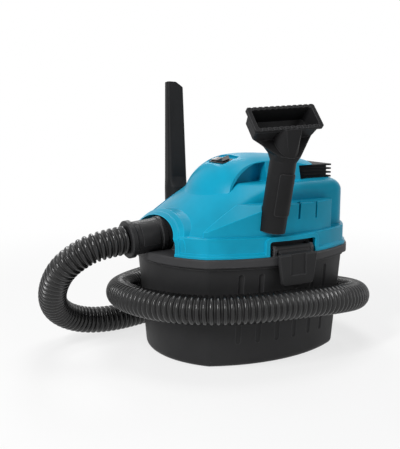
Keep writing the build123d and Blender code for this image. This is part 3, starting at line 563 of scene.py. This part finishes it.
class VACUUM_OT_make_stage(bpy.types.Operator):
    """Set up the floor, the soft lamps and the camera"""

    bl_idname = "vacuum.make_stage"
    bl_label = "Make stage"

    def floor(self, scene, settings):
        """Pale floor that goes white away from the object and keeps its shadow."""
        mesh = bpy.data.meshes.new("floor")
        corners = [(-1, -1), (1, -1), (1, 1), (-1, 1)]
        mesh.from_pydata([(x * FLOOR_REACH, y * FLOOR_REACH, 0) for x, y in corners], [], [(0, 1, 2, 3)])
        floor = bpy.data.objects.new("floor", mesh)
        floor.location.z = -FLOOR_DROP
        paint = Paint("pale_floor")
        paint.set(Base_Color=(settings.floor,) * 3, Roughness=0.9)
        away = paint.node("ShaderNodeVectorMath", {"operation": "LENGTH"}, {0: paint.place()},
                          output="Value")
        fade = settings.glow + (1 - settings.glow) * away.clamped(*settings.fade)
        white = paint.node("ShaderNodeEmission", None, {"Color": (1, 1, 1)})
        blend = paint.node("ShaderNodeMixShader", None,
                           {0: fade * paint.seen_as_background(), 1: paint.surface, 2: white})
        paint.put(paint.output.inputs["Surface"], blend)
        mesh.materials.append(paint.material)
        scene.collection.objects.link(floor)

    def surroundings(self, scene, settings):
        """White studio whose own light is weak."""
        world = bpy.data.worlds.new("studio")
        scene.world = world
        world.use_nodes = True
        sheet = NodeSheet(world.node_tree)
        plain = sheet.node("ShaderNodeBackground", None, {"Color": (1, 1, 1), "Strength": settings.ambient})
        white = sheet.node("ShaderNodeBackground", None, {"Color": (1, 1, 1)})
        blend = sheet.node("ShaderNodeMixShader", None, {0: sheet.seen_as_background(), 1: plain, 2: white})
        sheet.node("ShaderNodeOutputWorld", None, {"Surface": blend})

    def lamp(self, scene, name, place, size, power):
        """Area lamp that looks at the middle of the object."""
        lamp = bpy.data.lights.new(name, "AREA")
        lamp.shape = "RECTANGLE"
        lamp.size, lamp.size_y = size
        lamp.energy = power
        holder = bpy.data.objects.new(name, lamp)
        holder.location = place
        holder.rotation_euler = (Vector(LAMP_AIM) - Vector(place)).to_track_quat("-Z", "Y").to_euler()
        scene.collection.objects.link(holder)

    def camera(self, scene, settings):
        """Camera at the photograph's viewing angle."""
        lens = bpy.data.cameras.new("camera")
        lens.sensor_fit = "HORIZONTAL"
        lens.sensor_width = CAMERA_SENSOR
        lens.lens = settings.lens
        lens.clip_end = CAMERA_CLIP_END
        holder = bpy.data.objects.new("camera", lens)
        back = Vector(CAMERA_BACK).normalized()
        right = Vector(CAMERA_RIGHT).normalized()
        turn = Matrix((right, back.cross(right), back)).transposed().to_4x4()
        holder.matrix_world = Matrix.Translation(CAMERA_PLACE) @ turn
        scene.collection.objects.link(holder)
        scene.camera = holder

    def execute(self, context):
        scene = context.scene
        settings = scene.vacuum_stage
        scene.view_settings.view_transform = "Standard"
        self.floor(scene, settings)
        self.surroundings(scene, settings)
        for name, place, size, share in LAMPS:
            self.lamp(scene, name, place, size, settings.key * share)
        self.camera(scene, settings)
        return {"FINISHED"}


class VACUUM_OT_make_hose(bpy.types.Operator):
    """Make the ribbed hose along its smooth line"""

    bl_idname = "vacuum.make_hose"
    bl_label = "Make hose"

    def wall(self, points, sizes):
        """Rings of the ribbed outside, then of the smooth bore on the way back:
        centre, two directions across, radius and depth of groove."""
        reader = PathReader(points)
        pitches = round(reader.length / sizes.rib_pitch)
        stations = [((turn + share) / pitches * reader.length, deep)
                    for turn in range(pitches) for share, deep in RIB_SECTION]
        stations.append((reader.length, 1.0))
        places = [reader.place(distance) for distance, deep in stations]
        across = Vector((1, 0, 0))
        rings = []
        for index, (distance, deep) in enumerate(stations):
            ahead = (places[min(index + 1, len(places) - 1)] - places[max(index - 1, 0)]).normalized()
            across = (across - ahead * across.dot(ahead)).normalized()
            radius = sizes.hose_radius - HOSE_SKIN - deep * sizes.rib_depth
            rings.append((places[index], across, ahead.cross(across), radius, deep))
        bore = sizes.hose_radius - sizes.rib_depth - sizes.hose_wall
        return rings + [ring[:3] + (bore, 1.0) for ring in rings[::len(RIB_SECTION)][::-1]]

    def execute(self, context):
        sizes = context.scene.vacuum_sizes
        colours = context.scene.vacuum_colours
        points = hose_line()
        rings = self.wall(points, sizes)
        sides = sizes.hose_sides
        angles = [2 * math.pi * side / sides for side in range(sides)]
        vertices = [centre + (out * math.cos(angle) + up * math.sin(angle)) * radius
                    for centre, out, up, radius, deep in rings for angle in angles]
        material = ribbed_hose_plastic("hose_plastic", colours.hose, colours.dust)
        hose = mesh_piece("ribbed_hose", vertices, loop_faces(len(rings), sides, closed=True), "head",
                          material)
        layer = hose.data.attributes.new("groove", "FLOAT", "POINT")
        layer.data.foreach_set("value", [ring[-1] for ring in rings for side in range(sides)])
        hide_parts("hose")
        return {"FINISHED"}


class VACUUM_OT_dress_shell(bpy.types.Operator):
    """Finish the tank, the head's base and the coloured cover"""

    bl_idname = "vacuum.dress_shell"
    bl_label = "Dress shell"

    def execute(self, context):
        colours = context.scene.vacuum_colours
        edge = context.scene.vacuum_sizes.edge_radius
        # On the cover the paler edges are a painted highlight along its edges.
        give(moulded_plastic("cover_plastic", colours.cover, edge, rough=0.34, grain=900.0, relief=0.06,
                             edge_wear_and_sheen=1.6), "motor_cover")
        give(moulded_plastic("tank_plastic", colours.tank, edge, rough=0.5, grain=1300.0, relief=0.2,
                             dust=colours.dust), "tank")
        give(moulded_plastic("base_plastic", colours.base, edge, rough=0.45, grain=1300.0, relief=0.14,
                             dust=colours.dust), "head_base")
        return {"FINISHED"}


class VACUUM_OT_dress_fittings(bpy.types.Operator):
    """Finish the latches, louvre, switch, cuffs, seals and stored tools"""

    bl_idname = "vacuum.dress_fittings"
    bl_label = "Dress fittings"

    def execute(self, context):
        colours = context.scene.vacuum_colours
        edge = context.scene.vacuum_sizes.edge_radius
        give(moulded_plastic("fitting_plastic", colours.fittings, edge, rough=0.42, grain=1200.0,
                             relief=0.12, dust=colours.dust),
             "latch_near", "latch_far", "switch_housing", "inlet_elbow", "filter_cage", "hose_cuff",
             "hose_end_cuff")
        # The tools' edges are paled more strongly, for wear and as a painted highlight.
        give(moulded_plastic("tool_plastic", lighter(colours.fittings, 0.8), edge, rough=0.4, grain=1000.0,
                             relief=0.1, dust=colours.dust, shine=DULL_SHINE, edge_wear_and_sheen=4.0),
             "utility_nozzle", "crevice_tool")
        give(moulded_plastic("vent_plastic", lighter(colours.fittings, 0.4), edge, rough=0.45, grain=1200.0,
                             relief=0.12, shine=DULL_SHINE), "exhaust_louvre")
        give(moulded_plastic("rocker_plastic", lighter(colours.fittings, 0.8), edge, rough=0.14,
                             grain=700.0, relief=0.03, shine=0.5), "rocker")
        give(matt_rubber("soft_rubber", colours.tank),
             "tank_seal", "fan_gasket", "filter_band", "cord_gland")
        return {"FINISHED"}


class VACUUM_OT_make_nozzle_details(bpy.types.Operator):
    """Make the raised grip panel and the flat front of the throat on the wide nozzle"""

    bl_idname = "vacuum.make_nozzle_details"
    bl_label = "Make nozzle details"

    def axes(self):
        """Directions along, out of and across the nozzle's tube."""
        axis = Vector(NOZZLE_AXIS).normalized()
        side = (Vector((0, 1, 0)) - axis * axis.y).normalized()
        return axis, side.cross(axis), side

    def throat_front(self):
        """The tube carried on up to the mouth's lower lip and cut flat in front."""
        axis, out, side = self.axes()
        low, turn, high = THROAT_HEIGHTS
        rows, steps = THROAT_ROWS, THROAT_STEPS
        points = []
        for row in range(rows + 1):
            share = row / rows
            height = low + (high - low) * share
            front = TUBE_RADIUS - THROAT_SLOPE * (height - low)
            reach = turn - low if height < turn else (high - turn) * THROAT_TAIL
            back = THROAT_DEPTH * (1 - abs(height - turn) / reach)
            cut = math.acos(min(1.0, front / TUBE_RADIUS))
            end = math.acos((front - THROAT_LEAST_DEPTH - back) / TUBE_RADIUS)
            arc = [end + (cut - end) * step / steps for step in range(steps)]
            flat = [math.sin(cut) * (2 * step / steps - 1) for step in range(steps + 1)]
            section = [(-math.sin(angle), math.cos(angle)) for angle in arc]
            section += [(place, math.cos(cut)) for place in flat]
            section += [(math.sin(angle), math.cos(angle)) for angle in reversed(arc)]
            for across, forward in section:
                rise = height + share * THROAT_TILT * across * TUBE_RADIUS
                around = side * across + out * forward
                points.append(Vector(NOZZLE_FOOT) + axis * rise + around * TUBE_RADIUS)
        return points, capped_faces(rows + 1, len(points) // (rows + 1))

    def execute(self, context):
        material = finish_of("utility_nozzle")
        points, faces = curved_plate(NOZZLE_FOOT, self.axes(), TUBE_RADIUS, PANEL_SPAN, PANEL_HALF_WIDTH,
                                     PANEL_CORNER, context.scene.vacuum_sizes.panel_rise)
        mesh_piece("nozzle_grip_panel", points, faces, "utility_nozzle", material,
                   PLATE_CREASE)
        points, faces = self.throat_front()
        mesh_piece("nozzle_throat_front", points, faces, "utility_nozzle", material,
                   THROAT_CREASE)
        return {"FINISHED"}


class VACUUM_OT_make_cuff_panel(bpy.types.Operator):
    """Make the raised grip panel on the near side of the inlet cuff"""

    bl_idname = "vacuum.make_cuff_panel"
    bl_label = "Make cuff panel"

    def execute(self, context):
        axis, level = Vector(CUFF_AXIS).normalized(), Vector((1, 0, 0))
        out = level * math.cos(CUFF_PANEL_LIFT) + axis.cross(level) * math.sin(CUFF_PANEL_LIFT)
        points, faces = curved_plate(CUFF_FOOT, (axis, out, axis.cross(out)), CUFF_RADIUS, CUFF_PANEL_SPAN,
                                     CUFF_PANEL_HALF_WIDTH, CUFF_PANEL_CORNER, CUFF_PANEL_RISE)
        mesh_piece("cuff_grip_panel", points, faces, "head", finish_of("hose_cuff"),
                   PLATE_CREASE)
        return {"FINISHED"}


class VACUUM_OT_make_louvre_ribs(bpy.types.Operator):
    """Make the level ribs on both cheeks of the exhaust louvre"""

    bl_idname = "vacuum.make_louvre_ribs"
    bl_label = "Make louvre ribs"

    def rib(self, cheek, outward, start, end, height):
        """Half-round bar with tapered ends, its back just inside the cheek."""
        rows, steps = LOUVRE_RIB_ROWS, LOUVRE_RIB_STEPS
        inside = cheek - outward * LOUVRE_RIB
        points = []
        for row in range(rows + 1):
            share = row / rows
            grown = min(1.0, LOUVRE_RIB_TAPER * min(share, 1 - share))
            size = LOUVRE_RIB * (LOUVRE_RIB_TIP + (1 - LOUVRE_RIB_TIP) * grown)
            place = start + (end - start) * share
            for step in range(steps + 1):
                angle = math.pi * (step / steps - 0.5)
                proud = outward * size * math.cos(angle)
                points.append((cheek + proud, place, height + size * math.sin(angle)))
            points += [(inside, place, height + size), (inside, place, height - size)]
        return points, capped_faces(rows + 1, len(points) // (rows + 1))

    def execute(self, context):
        low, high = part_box("exhaust_louvre")
        start, end = low[1] + LOUVRE_RIB_MARGIN, high[1] - LOUVRE_FIN_REACH - LOUVRE_RIB_MARGIN
        for name, cheek, outward in (("louvre_ribs_near", high[0], 1), ("louvre_ribs_far", low[0], -1)):
            points, faces = [], []
            for share in LOUVRE_RIB_HEIGHTS:
                height = low[2] + (high[2] - low[2]) * share
                more, loops = self.rib(cheek, outward, start, end, height)
                faces += [tuple(len(points) + place for place in loop) for loop in loops]
                points += more
            mesh_piece(name, points, faces, "head", finish_of("exhaust_louvre"),
                       LOUVRE_RIB_CREASE)
        return {"FINISHED"}


class VACUUM_OT_dress_works(bpy.types.Operator):
    """Finish the motor, fan, filter and small metal pieces"""

    bl_idname = "vacuum.dress_works"
    bl_label = "Dress works"

    def execute(self, context):
        colours = context.scene.vacuum_colours
        give(turned_metal("bare_steel", colours.steel, rough=0.32, stretch=SHAFT_LINES),
             "latch_pin_near", "latch_pin_far", "impeller_nut", "rotor", "bearing_lower", "bearing_upper",
             "cover_screws")
        give(turned_metal("zinc_sheet", colours.zinc, rough=0.42, stretch=EVEN_LINES),
             "fan_shell", "stator")
        give(turned_metal("pressed_aluminium", colours.aluminium, rough=0.36, stretch=EVEN_LINES),
             "impeller")
        give(turned_metal("holder_brass", colours.brass, rough=0.35, stretch=EVEN_LINES),
             "brush_holders")
        give(moulded_plastic("motor_plastic", colours.motor, WORKS_EDGE, rough=0.5, grain=800.0,
                             relief=0.15), "motor_frame")
        give(moulded_plastic("float_plastic", colours.float_ball, WORKS_EDGE, rough=0.4, grain=700.0,
                             relief=0.05), "float_ball")
        give(open_foam("filter_foam", colours.foam), "filter_sleeve")
        return {"FINISHED"}


class VACUUM_PT_panel(bpy.types.Panel):
    """Lists the steps of the vacuum's dressing"""

    bl_label = "Shop vacuum"
    bl_idname = "VACUUM_PT_panel"
    bl_space_type = "VIEW_3D"
    bl_region_type = "UI"
    bl_category = "Vacuum"

    def draw(self, context):
        for step in STEPS:
            self.layout.operator(step.bl_idname)


STEPS = [VACUUM_OT_make_stage, VACUUM_OT_make_hose, VACUUM_OT_dress_shell, VACUUM_OT_dress_fittings,
         VACUUM_OT_make_nozzle_details, VACUUM_OT_make_cuff_panel, VACUUM_OT_make_louvre_ribs,
         VACUUM_OT_dress_works]
GROUPS = {"vacuum_colours": VacuumColours, "vacuum_sizes": VacuumSizes, "vacuum_stage": VacuumStage}


def register():
    for name, group in GROUPS.items():
        bpy.utils.register_class(group)
        setattr(bpy.types.Scene, name, PointerProperty(type=group))
    for made in STEPS + [VACUUM_PT_panel]:
        bpy.utils.register_class(made)


def unregister():
    for made in reversed(STEPS + [VACUUM_PT_panel]):
        bpy.utils.unregister_class(made)
    for name, group in GROUPS.items():
        delattr(bpy.types.Scene, name)
        bpy.utils.unregister_class(group)


def main():
    register()
    for step in STEPS:
        group, name = step.bl_idname.split(".")
        getattr(getattr(bpy.ops, group), name)()


if __name__ == "__main__":
    main()
